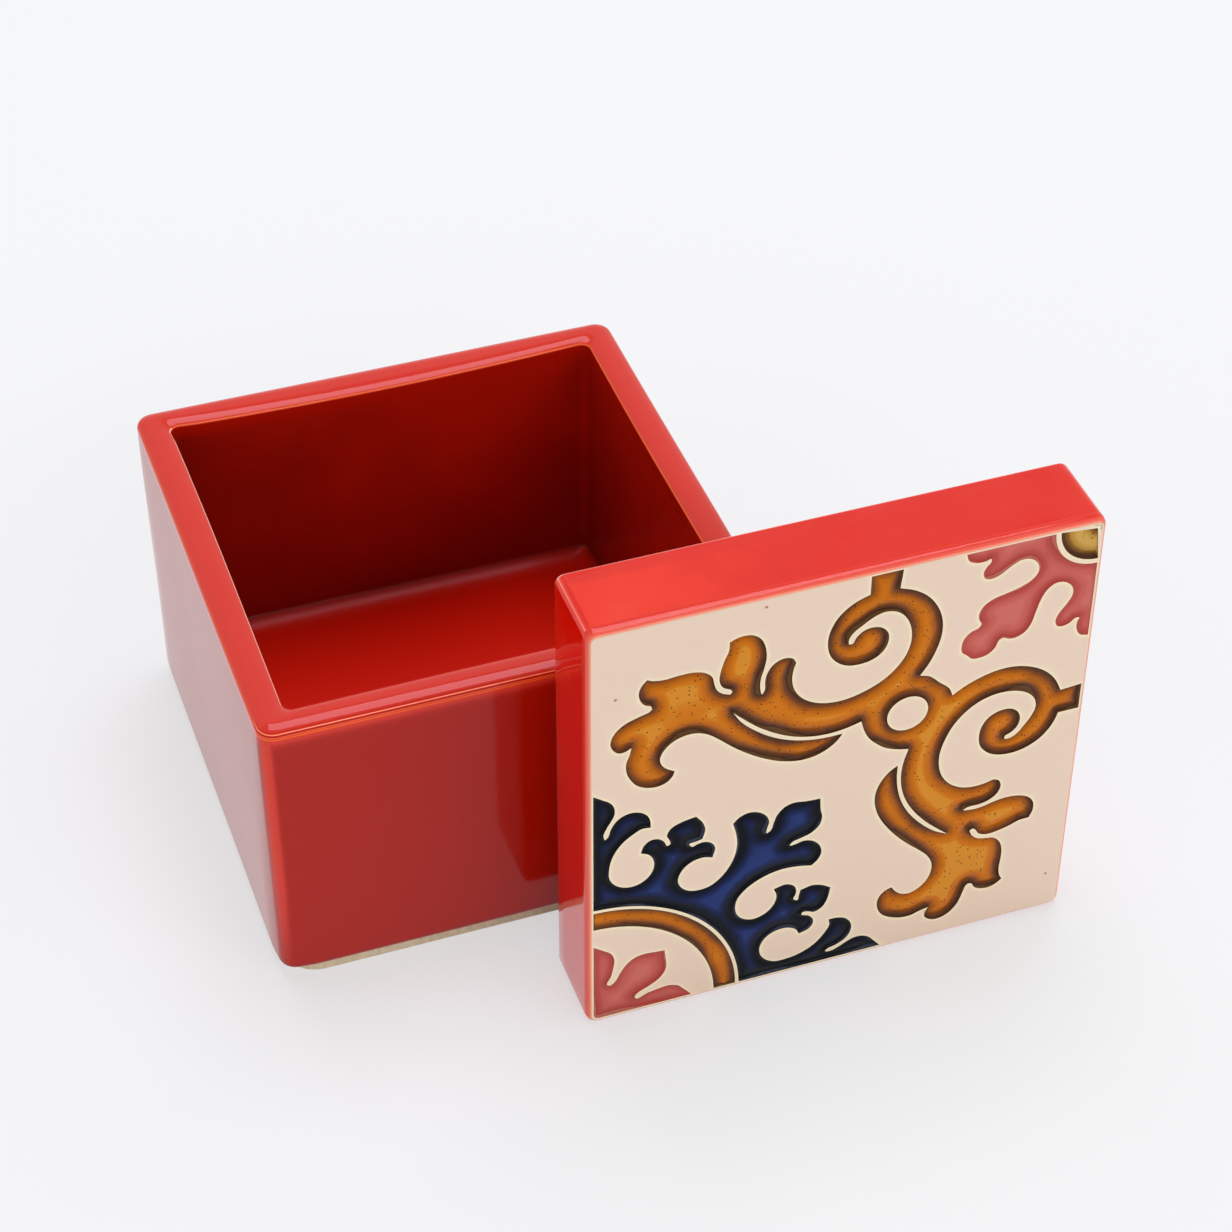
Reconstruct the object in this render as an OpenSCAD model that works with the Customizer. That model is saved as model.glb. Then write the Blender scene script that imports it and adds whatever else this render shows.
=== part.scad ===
// Square glazed earthenware box with a relief-tile lid. The box stands on its foot ring,
// and the lid is off: it stands on one edge in front of the box, tile face outwards.
// Millimetres, +Z up, origin on the table under the middle of the box.

/* [Box] */
// Outer width of the square box
body_w = 140; // [110:1:180]
// Height of the box from the table to its rim
box_h = 92; // [70:1:120]
// Thickness of the side walls
wall = 8.5; // [6:0.5:10]
// Thickness of the floor
floor_t = 9; // [6:0.5:12]
// Radius of the upright outer corners
corner_r = 8; // [6:0.5:10]
// Radius of the upright corners inside
inner_corner_r = 6; // [4:0.5:7]
// Rounding of the rim's outer edge
rim_r = 2.5; // [1.5:0.1:3]
// Rounding of the rim's inner edge
lip_r = 1.8; // [1:0.1:2.5]
// Rounding of the outer edge under the walls
base_r = 2; // [1:0.5:2]
// Fillet between the walls and the floor inside
floor_fillet = 6; // [3:0.5:9]

/* [Foot] */
// Height of the bare foot ring
foot_h = 4.5; // [2:0.5:6]
// How far the foot ring lies in from the walls
foot_inset = 2; // [2:0.5:4]
// Width of the foot ring's tread
foot_tread = 9; // [6:0.5:14]

/* [Lid] */
// How far the lid's sides lie in from the walls of the closed box
lid_setback = 1.5; // [0:0.5:3]
// Height of the closed lid above the rim
lid_h = 24.5; // [20:0.5:32]
// Radius of the lid's upright corners
lid_corner_r = 2; // [2:0.5:5]
// Rounding of the edge between the lid's sides and its seat
lid_edge_r = 1; // [0.8:0.1:1.8]
// Thickness of the lid over its hollow, face plate included
lid_top_t = 9; // [7:0.5:12]
// How deep the locating rim reaches into the box
plug_d = 6; // [4:0.5:9]
// Thickness of the locating rim
plug_t = 6; // [4:0.5:8]
// Gap between the locating rim and the walls, on each side
plug_gap = 1; // [0.6:0.1:2]
// Rounding of the locating rim's outer edge
plug_r = 1.2; // [0.8:0.1:1.8]
// Fillet round the roof of the lid's hollow
hollow_fillet = 3; // [2:0.5:3.5]

/* [Relief face] */
// Thickness of the cream face plate
face_t = 3; // [2.4:0.1:4]
// Rounding of the arris round the face
arris_r = 1.2; // [0.8:0.1:1.8]
// Depth of the ochre and blue hollows under the cream ground
relief_d = 1.2; // [0.9:0.1:1.6]
// Depth of the pink hollows under the cream ground
pink_relief_d = 0.8; // [0.7:0.1:1.2]
// How far the pooled glaze stays below the cream ground
glaze_low = 0.4; // [0.2:0.1:0.5]

/* [Lid standing beside the box] */
// Sideways distance from the middle of the box to the middle of the lid
lid_aside = 71; // [60:1:90]
// Gap between the front wall and the seat of the standing lid
lid_gap = 15; // [11:1:30]

/* [Hidden] */
$fn = 96;
// Overrun of the cuts
over = 1;
opening_w = body_w - 2 * wall;
foot_w = body_w - 2 * foot_inset;
foot_corner_r = corner_r - foot_inset;
foot_hole_w = foot_w - 2 * foot_tread;
lid_w = body_w - 2 * lid_setback;
plug_w = opening_w - 2 * plug_gap;
hollow_w = plug_w - 2 * plug_t;
plug_corner_r = max(inner_corner_r - plug_gap, plug_r);
hollow_corner_r = max(plug_corner_r - plug_t, hollow_fillet);
// Straight pieces that each length of an outline between two of its points is cut into
curve_steps = 2;
// Straight pieces of a quarter circle in the relief
arc_steps = 24;

// The outlines of the relief are in hundredths of the lid's side, from its lower left corner.
// An outline is a list of runs: a run is one smooth curve through its points, and runs
// meet in corners. Only the half above the tile's diagonal is listed, the rest mirrors it.

// Strip of plain ground that frames the whole relief
margin_share = 1.3;
// Acanthus and scroll, from the hub's lower left side round to its upper right side
ochre_half_shares = [
    [[57.0, 57.0], [55.4, 58.9], [54.3, 61.2], [53.6, 63.7]],
    [[53.6, 63.7], [50.5, 62.9], [47.0, 62.6], [43.5, 63.0], [40.0, 64.1], [36.5, 66.0],
        [33.0, 68.6], [30.3, 71.2], [28.1, 73.5]],
    [[28.1, 73.5], [29.8, 70.7], [32.5, 67.9], [36.0, 65.2], [39.7, 63.3], [43.5, 62.2],
        [46.8, 61.8], [50.0, 61.8]],
    [[50.0, 61.8], [48.8, 60.1], [47.0, 58.7], [44.9, 57.8], [42.5, 57.5], [39.8, 57.9],
        [37.0, 58.9], [33.5, 60.9], [30.5, 63.1], [27.8, 65.5], [25.5, 67.8], [23.3, 69.7],
        [21.1, 70.7], [19.0, 70.8], [17.0, 70.2], [15.4, 69.0], [14.4, 67.5], [14.1, 66.1],
        [14.6, 64.6], [15.6, 63.5], [17.0, 62.6]],
    [[17.0, 62.6], [16.6, 61.4], [15.6, 60.3], [13.9, 59.7], [11.7, 60.0], [9.8, 61.1],
        [8.5, 62.9], [7.7, 65.0], [7.6, 67.3], [8.2, 69.1], [8.6, 70.9]],
    [[8.6, 70.9], [7.4, 70.3], [6.2, 70.3], [5.2, 71.2], [4.6, 72.7], [4.9, 74.5],
        [5.9, 76.0], [7.5, 77.2], [9.7, 78.0], [11.8, 78.6]],
    [[11.8, 78.6], [12.4, 79.2], [12.2, 80.0]],
    [[12.2, 80.0], [10.9, 80.7], [10.1, 82.1], [9.9, 83.8], [10.4, 85.3], [11.4, 86.5]],
    [[11.4, 86.5], [12.7, 85.9], [14.7, 85.6], [17.5, 85.8], [20.3, 85.7], [22.5, 84.9],
        [23.8, 83.5], [24.2, 81.8], [24.7, 80.2], [25.8, 79.0], [27.3, 78.3]],
    [[27.3, 78.3], [27.7, 78.9], [27.3, 79.5]],
    [[27.3, 79.5], [25.9, 80.4], [25.2, 82.0], [25.3, 84.1], [26.0, 86.8], [26.8, 88.9],
        [26.9, 90.9]],
    [[26.9, 90.9], [28.8, 91.6], [31.1, 91.4], [32.8, 90.1], [33.8, 87.9], [34.1, 85.1],
        [33.7, 82.5], [33.2, 80.5], [33.1, 78.3], [33.5, 76.5], [34.0, 77.5], [34.0, 79.7],
        [34.5, 81.7], [35.7, 83.3], [37.5, 84.0], [39.2, 83.5], [39.9, 82.3]],
    [[39.9, 82.3], [39.4, 80.3], [39.3, 78.1], [39.8, 75.8], [41.2, 73.5], [43.5, 71.6],
        [46.5, 70.5], [50.0, 70.3], [53.5, 71.1], [57.0, 72.7], [59.8, 75.1], [61.6, 77.9],
        [62.4, 81.1], [62.1, 84.5], [60.9, 87.2], [59.1, 88.9], [56.8, 89.5], [54.5, 88.8],
        [52.5, 87.5], [50.9, 86.3], [50.0, 84.8], [50.1, 83.7], [50.8, 83.7], [51.4, 84.9],
        [52.7, 86.1], [54.5, 86.5], [56.4, 85.9], [57.6, 84.5], [57.9, 82.8], [57.5, 81.0],
        [56.4, 79.5], [54.6, 78.5], [52.5, 78.2], [50.2, 78.5], [48.3, 79.6], [46.8, 81.4],
        [46.0, 83.7], [45.9, 86.2], [46.5, 88.7], [47.9, 91.1], [49.9, 92.9], [51.8, 93.9],
        [53.6, 94.5]],
    [[53.6, 94.5], [53.6, 98.7]],
    [[53.6, 98.7], [59.8, 98.7]],
    [[59.8, 98.7], [59.4, 94.4]],
    [[59.4, 94.4], [62.5, 93.0], [65.1, 90.9], [67.1, 88.0], [68.3, 84.6], [68.5, 81.0],
        [67.7, 77.4], [66.4, 74.3], [64.8, 71.8]],
    [[64.8, 71.8], [66.8, 71.0], [68.9, 68.9]]];
// Middle and radius of the cream disc in the hub
hub_share = 62.9;
hub_r_share = 4.1;
// Quarter rosette, from the edge of the tile round to the tip on the diagonal
blue_half_shares = [
    [[1.3, 31.3], [1.3, 61.0]],
    [[1.3, 61.0], [3.0, 59.7], [4.6, 58.4], [5.4, 56.8], [5.4, 55.1], [4.8, 53.7],
        [3.9, 52.1], [3.3, 50.4], [3.6, 49.3], [4.2, 49.9], [4.7, 51.6], [5.7, 53.3],
        [7.1, 54.3], [8.8, 54.6], [10.5, 54.1], [11.8, 52.9], [12.4, 51.3], [12.5, 49.6]],
    [[12.5, 49.6], [10.8, 49.8], [9.2, 49.0], [7.3, 47.6], [5.8, 45.7], [4.8, 43.4],
        [4.4, 41.0], [4.5, 38.7], [5.5, 36.9], [7.1, 35.7], [9.0, 35.3], [10.9, 35.8],
        [12.4, 37.1], [13.2, 39.0], [13.1, 41.0], [12.2, 42.6], [10.6, 43.5]],
    [[10.6, 43.5], [11.2, 45.3], [12.5, 46.3], [13.9, 46.2], [15.1, 45.2], [15.8, 43.8],
        [16.4, 44.1], [16.2, 45.2], [15.7, 46.4], [16.4, 48.0], [18.3, 49.0], [21.4, 49.6]],
    [[21.4, 49.6], [22.7, 47.7], [23.3, 45.7], [22.8, 43.3]],
    [[22.8, 43.3], [21.4, 43.0], [20.2, 42.8], [20.8, 41.9], [21.9, 42.3], [23.2, 42.4],
        [24.6, 41.7], [25.4, 40.1], [24.9, 37.7]],
    [[24.9, 37.7], [23.2, 38.3], [21.3, 38.1], [19.5, 37.0], [18.4, 35.3], [18.1, 33.5],
        [18.9, 31.6], [20.5, 30.3], [22.6, 29.9], [24.7, 30.3], [26.7, 31.8], [28.4, 34.2],
        [29.4, 36.8], [29.8, 39.6], [29.5, 42.5], [28.8, 45.3]],
    [[28.8, 45.3], [30.1, 46.6], [32.0, 47.2], [34.0, 46.6], [35.5, 45.2], [36.1, 43.4],
        [35.7, 41.6], [35.7, 40.6], [36.5, 41.1], [37.0, 42.8], [37.7, 44.8], [39.2, 46.4],
        [41.1, 46.9], [43.5, 46.5], [46.3, 46.3]]];
// Leaf in the lower left corner
leaf_half_shares = [
    [[1.3, 1.3], [1.3, 21.4]],
    [[1.3, 21.4], [3.2, 19.9], [4.8, 18.5], [5.5, 16.6], [5.3, 14.3], [4.8, 12.0],
        [4.0, 10.2], [4.7, 9.7], [5.7, 10.5], [6.8, 12.7], [8.2, 14.7], [9.8, 15.8],
        [11.6, 16.1], [13.6, 15.9], [15.7, 15.7]]];
// Spray in the upper right corner, from its arm on the edge to the lobe on the diagonal
spray_half_shares = [
    [[72.0, 98.7], [72.6, 97.0], [74.3, 96.1], [76.1, 96.1], [76.9, 96.4], [77.0, 95.6],
        [76.2, 94.6], [75.7, 93.3], [76.1, 92.0], [77.4, 91.5], [79.1, 92.0], [81.1, 93.4],
        [83.1, 94.4], [85.1, 94.1], [86.6, 92.5], [86.8, 90.7], [85.7, 89.1], [83.6, 88.0],
        [80.8, 87.2], [78.4, 86.6], [76.6, 85.5], [75.7, 83.9], [75.7, 82.4], [76.3, 81.0],
        [75.8, 80.2], [74.3, 79.6], [73.1, 78.3], [72.7, 76.7], [72.9, 75.1], [74.0, 74.0]]];
// Middle of the arcs round the lower left corner, and their radii
arc_middle_share = 0.6;
arc_inner_share = 25.4;
arc_outer_share = 29.5;
rosette_inner_share = 30.7;
// Radii about the upper right corner of the frame: the ochre disc, and the spray's inner edge
disc_share = 8.1;
spray_inner_share = 9.1;

function flip(p) = [p[1], p[0]];
function knot(a, b) = sqrt(norm(b - a));
function between(a, b, ta, tb, t) = (a * (tb - t) + b * (t - ta)) / (tb - ta);
// Point at a share of the way from p[1] to p[2] on the curve through the four points
function curve_point(p, share) =
    let (
        t1 = knot(p[0], p[1]),
        t2 = t1 + knot(p[1], p[2]),
        t3 = t2 + knot(p[2], p[3]),
        t = t1 + (t2 - t1) * share,
        a1 = between(p[0], p[1], 0, t1, t),
        a2 = between(p[1], p[2], t1, t2, t),
        a3 = between(p[2], p[3], t2, t3, t),
        b1 = between(a1, a2, 0, t2, t),
        b2 = between(a2, a3, t1, t3, t)
    )
    between(b1, b2, t1, t2, t);
// Points of one run without its last, which the next run begins with
function run_curve(run, before, after) =
    let (last = len(run) - 1, held = concat([before], run, [after]))
    last == 1 ? [run[0]] :
    [for (i = [0 : last - 1], k = [0 : curve_steps - 1])
        curve_point([for (j = [0 : 3]) held[i + j]], k / curve_steps)];
function last_of(list) = list[len(list) - 1];
// Half outline without its last point; a smooth end crosses the diagonal with no corner
function half_outline(runs, smooth_start, smooth_end) =
    let (n = len(runs) - 1)
    [for (i = [0 : n])
        let (
            run = runs[i],
            m = len(run) - 1,
            before = smooth_start && i == 0 ? flip(run[1]) : 2 * run[0] - run[1],
            after = smooth_end && i == n ? flip(run[m - 1]) : 2 * run[m] - run[m - 1]
        )
        each run_curve(run, before, after)];
// Half outline, its end on the diagonal, and the mirror image back to where it began
function mirrored(half, tip, begins_on_diagonal) =
    concat(half, [tip], [for (i = [len(half) - 1 : -1 : begins_on_diagonal ? 1 : 0]) flip(half[i])]);
// Points of a circle about [c, c] that lie inside the plain frame, by rising angle
function corner_arc(c, r, low_edge, side) =
    let (a0 = asin((low_edge - c) / r * side), a1 = 90 - a0)
    [for (k = [0 : arc_steps])
        let (a = a0 + (a1 - a0) * k / arc_steps)
        [c + side * r * cos(a), c + side * r * sin(a)]];
function backwards(list) = [for (i = [len(list) - 1 : -1 : 0]) list[i]];

// What is cut from a profile to round one of its corners
module outside_corner(r) {
    difference() {
        square(r + over);
        circle(r);
    }
}
// Half of a block's upright section, with its lower and upper edges rounded
module edge_profile(half, z0, z1, low_r, top_r) {
    difference() {
        translate([0, z0]) square([half, z1 - z0]);
        if (low_r > 0)
            translate([half - low_r, z0 + low_r]) mirror([0, 1]) outside_corner(low_r);
        if (top_r > 0)
            translate([half - top_r, z1 - top_r]) outside_corner(top_r);
    }
}
// A block with a square plan, rounded upright corners and rounded edges
module soft_block(w, z0, z1, r, low_r, top_r) {
    straight = w - 2 * r;
    for (turn = [0, 90]) rotate([0, 0, turn])
        rotate([90, 0, 0]) linear_extrude(straight, center = true)
            for (side = [0, 1]) mirror([side, 0]) edge_profile(w / 2, z0, z1, low_r, top_r);
    for (x = [-1, 1], y = [-1, 1]) translate([x * straight / 2, y * straight / 2, 0])
        rotate_extrude() edge_profile(r, z0, z1, low_r, top_r);
}
// What is cut from the inner edge of a rim to round it
module lip_profile(r) {
    difference() {
        translate([-over, 0]) square([r + over, r + over]);
        translate([r, 0]) circle(r);
    }
}
module lip_cut(w, z, corner, r) {
    straight = w - 2 * corner;
    for (turn = [0 : 90 : 270]) rotate([0, 0, turn]) {
        translate([w / 2, 0, z - r]) rotate([90, 0, 0])
            linear_extrude(straight, center = true) lip_profile(r);
        translate([straight / 2, straight / 2, z - r])
            rotate_extrude(angle = 90) translate([corner, 0]) lip_profile(r);
    }
}

// The hollow: a square well with rounded upright corners, and a fillet along each side of its floor
module well_section(turn) {
    rotate([0, 0, turn]) rotate([90, 0, 0]) linear_extrude(opening_w, center = true)
        for (side = [0, 1]) mirror([side, 0])
            edge_profile(opening_w / 2, foot_h + floor_t, box_h + over, floor_fillet, 0);
}
module well() {
    intersection() {
        soft_block(opening_w, foot_h + floor_t, box_h + over, inner_corner_r, 0, 0);
        well_section(0);
        well_section(90);
    }
}
module box_body() {
    color("firebrick") difference() {
        soft_block(body_w, foot_h, box_h, corner_r, base_r, rim_r);
        well();
        lip_cut(opening_w, box_h, inner_corner_r, lip_r);
    }
}
module foot_ring() {
    color("tan") difference() {
        soft_block(foot_w, 0, foot_h, foot_corner_r, 0, 0);
        soft_block(foot_hole_w, -over, foot_h + over, foot_corner_r, 0, 0);
    }
}

// Stands a piece of the closed lid, its seat at z = 0, on one edge in front of the box
module standing() {
    translate([lid_aside, -body_w / 2 - lid_gap, lid_w / 2]) rotate([90, 0, 0]) children();
}
module lid_body() {
    color("firebrick") standing() difference() {
        union() {
            soft_block(lid_w, 0, lid_h - face_t, lid_corner_r, lid_edge_r, 0);
            soft_block(plug_w, -plug_d, lid_edge_r, plug_corner_r, plug_r, 0);
        }
        soft_block(hollow_w, -plug_d - over, lid_h - lid_top_t, hollow_corner_r, 0, hollow_fillet);
    }
}

// A solid with an outline of the relief, between two heights under the cream ground
module motif(points, low, high) {
    translate([-lid_w / 2, -lid_w / 2, lid_h - low]) linear_extrude(low - high)
        polygon(points * lid_w / 100);
}
module ochre_scroll(low, high) {
    half = half_outline(ochre_half_shares, true, true);
    difference() {
        motif(mirrored(half, last_of(last_of(ochre_half_shares)), true), low, high);
        translate([(hub_share / 100 - 1 / 2) * lid_w, (hub_share / 100 - 1 / 2) * lid_w,
            lid_h - low - over])
            cylinder(h = low - high + 2 * over, r = hub_r_share / 100 * lid_w);
    }
}
module blue_rosette(low, high) {
    half = half_outline(blue_half_shares, false, false);
    inner = corner_arc(arc_middle_share, rosette_inner_share, margin_share, 1);
    motif(concat(mirrored(half, last_of(last_of(blue_half_shares)), false),
        [for (i = [1 : arc_steps - 1]) inner[i]]), low, high);
}
module ochre_arc(low, high) {
    outer = corner_arc(arc_middle_share, arc_outer_share, margin_share, 1);
    inner = corner_arc(arc_middle_share, arc_inner_share, margin_share, 1);
    motif(concat(outer, backwards(inner)), low, high);
}
module pink_leaf(low, high) {
    half = half_outline(leaf_half_shares, false, false);
    motif(mirrored(half, last_of(last_of(leaf_half_shares)), true), low, high);
}
module pink_spray(low, high) {
    half = half_outline(spray_half_shares, false, true);
    inner = corner_arc(100 - margin_share, spray_inner_share, 100 - margin_share, -1);
    motif(concat(mirrored(half, last_of(last_of(spray_half_shares)), false), backwards(inner)),
        low, high);
}
module ochre_disc(low, high) {
    corner = 100 - margin_share;
    motif(concat([[corner, corner]], corner_arc(corner, disc_share, corner, -1)), low, high);
}

module tile_face() {
    color("blanchedalmond") standing() difference() {
        soft_block(lid_w, lid_h - face_t, lid_h, lid_corner_r, 0, arris_r);
        ochre_scroll(relief_d, -over);
        blue_rosette(relief_d, -over);
        ochre_arc(relief_d, -over);
        ochre_disc(relief_d, -over);
        pink_leaf(pink_relief_d, -over);
        pink_spray(pink_relief_d, -over);
    }
}
module ochre_scroll_glaze() {
    color("darkgoldenrod") standing() ochre_scroll(relief_d, glaze_low);
}
module blue_rosette_glaze() {
    color("midnightblue") standing() blue_rosette(relief_d, glaze_low);
}
module ochre_arc_glaze() {
    color("darkgoldenrod") standing() ochre_arc(relief_d, glaze_low);
}
module pink_leaf_glaze() {
    color("indianred") standing() pink_leaf(pink_relief_d, glaze_low);
}
module pink_spray_glaze() {
    color("indianred") standing() pink_spray(pink_relief_d, glaze_low);
}
module ochre_disc_glaze() {
    color("darkgoldenrod") standing() ochre_disc(relief_d, glaze_low);
}

box_body();
foot_ring();
lid_body();
tile_face();
ochre_scroll_glaze();
blue_rosette_glaze();
ochre_arc_glaze();
pink_leaf_glaze();
pink_spray_glaze();
ochre_disc_glaze();
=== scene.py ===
# Looks of the square glazed box and its relief-tile lid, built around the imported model.
import math
import bmesh
import bpy
import numpy as np
from mathutils import Matrix, Vector
from mathutils.geometry import delaunay_2d_cdt
from mathutils.kdtree import KDTree


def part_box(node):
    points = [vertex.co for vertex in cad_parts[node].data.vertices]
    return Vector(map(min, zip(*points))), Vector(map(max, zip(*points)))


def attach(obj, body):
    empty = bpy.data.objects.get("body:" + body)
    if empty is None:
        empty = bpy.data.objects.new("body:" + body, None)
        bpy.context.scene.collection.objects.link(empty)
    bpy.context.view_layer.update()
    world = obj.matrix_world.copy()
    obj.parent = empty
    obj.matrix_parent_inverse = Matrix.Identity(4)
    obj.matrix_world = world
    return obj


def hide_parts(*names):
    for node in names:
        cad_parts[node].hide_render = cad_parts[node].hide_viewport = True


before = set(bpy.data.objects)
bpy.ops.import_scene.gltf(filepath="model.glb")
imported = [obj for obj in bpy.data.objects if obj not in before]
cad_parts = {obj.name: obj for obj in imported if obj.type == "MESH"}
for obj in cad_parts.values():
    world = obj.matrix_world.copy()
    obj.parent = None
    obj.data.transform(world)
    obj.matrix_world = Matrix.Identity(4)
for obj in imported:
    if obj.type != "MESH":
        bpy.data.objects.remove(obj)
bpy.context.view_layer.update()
scene = bpy.context.scene
scene.view_settings.view_transform = "Standard"

# Camera: held over the table in front of the box and a little to its left, looking down at
# 41 degrees through a short telephoto lens, almost level.
camera_data = bpy.data.cameras.new("camera")
camera_data.sensor_width = 36
camera_data.lens = 93.93
camera_data.clip_start = 0.01
camera = bpy.data.objects.new("camera", camera_data)
scene.collection.objects.link(camera)
camera_right = Vector((0.9435, -0.33135, 0.00302)).normalized()
camera_back = Vector((-0.25189, -0.71129, 0.65621)).normalized()
camera_up = camera_back.cross(camera_right)
camera_place = (-0.18113, -0.64942, 0.63954)
camera.matrix_world = Matrix.Translation(camera_place) @ Matrix(
    (camera_right, camera_up, camera_back)).transposed().to_4x4()
scene.camera = camera

# Table and studio: a seamless white table in a pale room that darkens towards its ceiling, with a
# large cool softbox overhead and a narrow one in front. The camera and the glaze see the
# table paler than it is lit, so that the shadows on it stay faint.
def wire(tree, node, inputs):
    """Links each of these inputs of a node to a socket, or sets it to a value."""
    for slot, value in inputs.items():
        if isinstance(value, bpy.types.NodeSocket):
            tree.links.new(value, node.inputs[slot])
        else:
            node.inputs[slot].default_value = value


def add_node(tree, kind, inputs):
    node = tree.nodes.new("ShaderNode" + kind)
    wire(tree, node, inputs)
    return node


def worked_out(tree, operation, *values):
    """The result of a sum on sockets and numbers."""
    node = tree.nodes.new("ShaderNodeMath")
    node.operation = operation
    wire(tree, node, dict(enumerate(values)))
    return node.outputs[0]


def map_range(tree, value, before, after):
    """A node that maps a value from one range, (from, to), to another."""
    return add_node(tree, "MapRange", {
        "Value": value, "From Min": before[0], "From Max": before[1],
        "To Min": after[0], "To Max": after[1]})


table_gap, table_size = 0.0001, 8
table_mirrored_share, table_camera_share = 0.88, 0.60
bpy.ops.object.select_all(action="DESELECT")
bpy.ops.mesh.primitive_plane_add(size=table_size, location=(0, 0, -table_gap))
table = bpy.context.object
table.name = "table"
table_white = bpy.data.materials.new("table_white")
table_white.use_nodes = True
table_tree = table_white.node_tree
table_tree.nodes.clear()
table_path = add_node(table_tree, "LightPath", {}).outputs
table_mirrored = worked_out(table_tree, "MAXIMUM", table_path["Is Glossy Ray"],
                            table_path["Is Transmission Ray"])
table_pale = worked_out(table_tree, "MULTIPLY_ADD", table_path["Is Camera Ray"],
                        table_camera_share, worked_out(
                            table_tree, "MULTIPLY", table_mirrored, table_mirrored_share))
table_matt = add_node(table_tree, "BsdfDiffuse", {"Color": (0.86, 0.85, 0.84, 1)})
table_glow = add_node(table_tree, "Emission", {"Color": (0.905, 0.912, 0.925, 1)})
table_seen = add_node(table_tree, "MixShader", {
    0: table_pale, 1: table_matt.outputs[0], 2: table_glow.outputs[0]})
add_node(table_tree, "OutputMaterial", {"Surface": table_seen.outputs[0]})
table.data.materials.append(table_white)

room = bpy.data.worlds.new("room")
scene.world = room
room.use_nodes = True
room_tree = room.node_tree
room_tree.nodes.clear()
fade_low, fade_high = (math.sin(math.radians(a)) for a in (43, 54))
wall_strength, ceiling_strength = 0.88, 0.18
room_way = add_node(room_tree, "TexCoord", {})
room_up = add_node(room_tree, "SeparateXYZ", {0: room_way.outputs["Generated"]})
room_fade = map_range(room_tree, room_up.outputs["Z"], (fade_low, fade_high),
                      (wall_strength, ceiling_strength))
room_fade.interpolation_type = "SMOOTHSTEP"
room_light = add_node(room_tree, "Background", {
    "Color": (1.0, 0.98, 0.95, 1), "Strength": room_fade.outputs[0]})
add_node(room_tree, "OutputWorld", {"Surface": room_light.outputs[0]})


def softbox(name, place, aim, width, depth, power, colour):
    """A rectangular area lamp of this size, its power in watts, turned towards the aim."""
    lamp_data = bpy.data.lights.new(name, "AREA")
    lamp_data.shape = "RECTANGLE"
    lamp_data.size = width
    lamp_data.size_y = depth
    lamp_data.energy = power
    lamp_data.color = colour
    lamp = bpy.data.objects.new(name, lamp_data)
    scene.collection.objects.link(lamp)
    lamp.location = place
    lamp.rotation_euler = (Vector(aim) - Vector(place)).to_track_quat("-Z", "Y").to_euler()


lamp_aim = (0, 0, 0.05)
softbox("overhead", (0.20, 0.56, 2.40), lamp_aim, 1.5, 1.5, 36, (0.85, 0.92, 1.06))
softbox("front_strip", (0.80, -2.35, 1.65), lamp_aim, 3.0, 0.4, 19, (1.0, 0.98, 0.96))

# Box: one slip-cast earthenware pot with 8.5 mm walls and a softly crowned rim, dipped in a glossy
# translucent red glaze. The glaze draws back from the edges, where the body lightens it. Its
# colour
# also carries painted light: pale highlight lines along the front rim and the left rim's inner
# edge, painted shade that darkens the walls of the well, lighter upwards and to the right, and a
# brighter red painted on the well's floor for the light that falls on it. Its walls have bowed a
# little in the kiln.
def pick(obj, kind, test):
    """In edit mode, selects only the faces or edges that pass a test on (part, its middle)."""
    bpy.ops.mesh.select_mode(type=kind)
    bpy.ops.mesh.select_all(action="DESELECT")
    shape = bmesh.from_edit_mesh(obj.data)
    for part in shape.faces if kind == "FACE" else shape.edges:
        middle = sum((v.co for v in part.verts), Vector()) / len(part.verts)
        if test(part, middle):
            part.select_set(True)
    shape.select_flush_mode()
    bmesh.update_edit_mesh(obj.data)


def start_block(name, low, high):
    """Adds a block between two corners, with its place in its mesh, and opens it in edit mode."""
    bpy.ops.object.select_all(action="DESELECT")
    bpy.ops.mesh.primitive_cube_add(size=1, location=[(a + b) / 2 for a, b in zip(low, high)])
    block = bpy.context.object
    block.name = name
    block.scale = [b - a for a, b in zip(low, high)]
    bpy.ops.object.transform_apply(location=True, rotation=True, scale=True)
    bpy.ops.object.mode_set(mode="EDIT")
    return block


tiny = 1e-5
ring_step = 0.0003


def off_axis(m):
    return max(abs(m.x), abs(m.y))


def at_level(m, level):
    return abs(m.z - level) < tiny


def is_upright(e, half):
    """Whether an edge is one of the four upright corners of a block this far from the middle."""
    a, b = (v.co for v in e.verts)
    return abs(a.z - b.z) > tiny and all(
        abs(abs(v) - half) < tiny for v in (a.x, a.y, b.x, b.y))


def bevel(radius, steps):
    bpy.ops.mesh.bevel(offset=radius, offset_type="OFFSET", segments=steps, profile=0.5,
                       affect="EDGES", clamp_overlap=False)


def curve_steps_of(*arcs):
    """Steps (in, along) of arcs that turn on from a wall; each is (radius, from, to, steps)."""
    steps = [(0.0, ring_step)]
    for radius, first, last, count in arcs:
        turns = [math.radians(first + (last - first) * k / count) for k in range(count + 1)]
        steps += [(radius * (math.cos(a) - math.cos(b)), radius * (math.sin(b) - math.sin(a)))
                  for a, b in zip(turns, turns[1:])]
    return steps


def crown_face(steps):
    """Draws the selected end face of a block in and out along the steps, and adds a last ring."""
    for inwards, along in steps:
        if inwards:
            bpy.ops.mesh.inset(thickness=inwards, depth=along)
        else:
            bpy.ops.mesh.extrude_region_shrink_fatten(
                TRANSFORM_OT_shrink_fatten={"value": along})
    bpy.ops.mesh.inset(thickness=ring_step)


def draw_loop(half, steps, side, rise):
    """Extrudes the selected loop along the steps, scaled about the middle; returns its half."""
    for inwards, along in steps + [(ring_step, 0.0)]:
        bpy.ops.mesh.extrude_region_move(
            TRANSFORM_OT_translate={"value": (0, 0, along * rise)})
        size = (half + inwards * side) / half
        half *= size
        bpy.ops.transform.resize(value=(size, size, 1), center_override=(0, 0, 0))
    return half


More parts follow.
